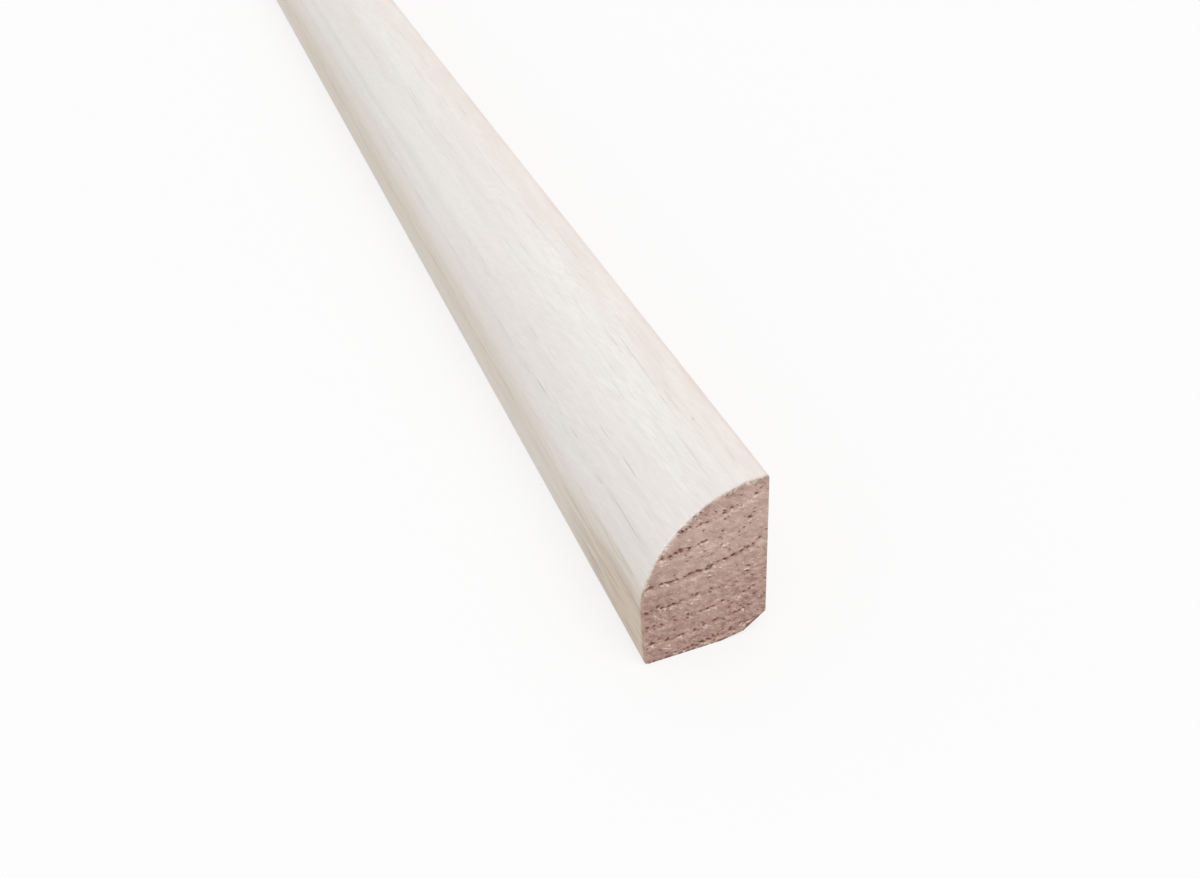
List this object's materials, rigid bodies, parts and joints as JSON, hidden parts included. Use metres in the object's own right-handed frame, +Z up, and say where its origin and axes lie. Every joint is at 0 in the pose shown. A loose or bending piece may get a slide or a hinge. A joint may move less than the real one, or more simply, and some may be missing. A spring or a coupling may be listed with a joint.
{
  "type": "shoe moulding",
  "caption": "Straight hardwood floor trim with a quarter-round nose over an upright toe, a flat back and a relieved bottom rear corner. It covers the joint between floor and wall.",
  "frame": {"origin": "on the floor plane, halfway along the stock and halfway between the toe and the back", "axes": "+X along the stock, +Y from the toe to the back that stands against the wall, +Z up from the floor"},
  "size_m": [1.9812, 0.0126, 0.0191],
  "materials": {
    "whitewashed_red_oak": "white-washed satin on the toe, nose and top land; bare pinkish brown oak on the sawn ends, back and bottom"
  },
  "bodies": {
    "root": {"shoe_moulding": "whitewashed_red_oak"}
  },
  "joints": []
}
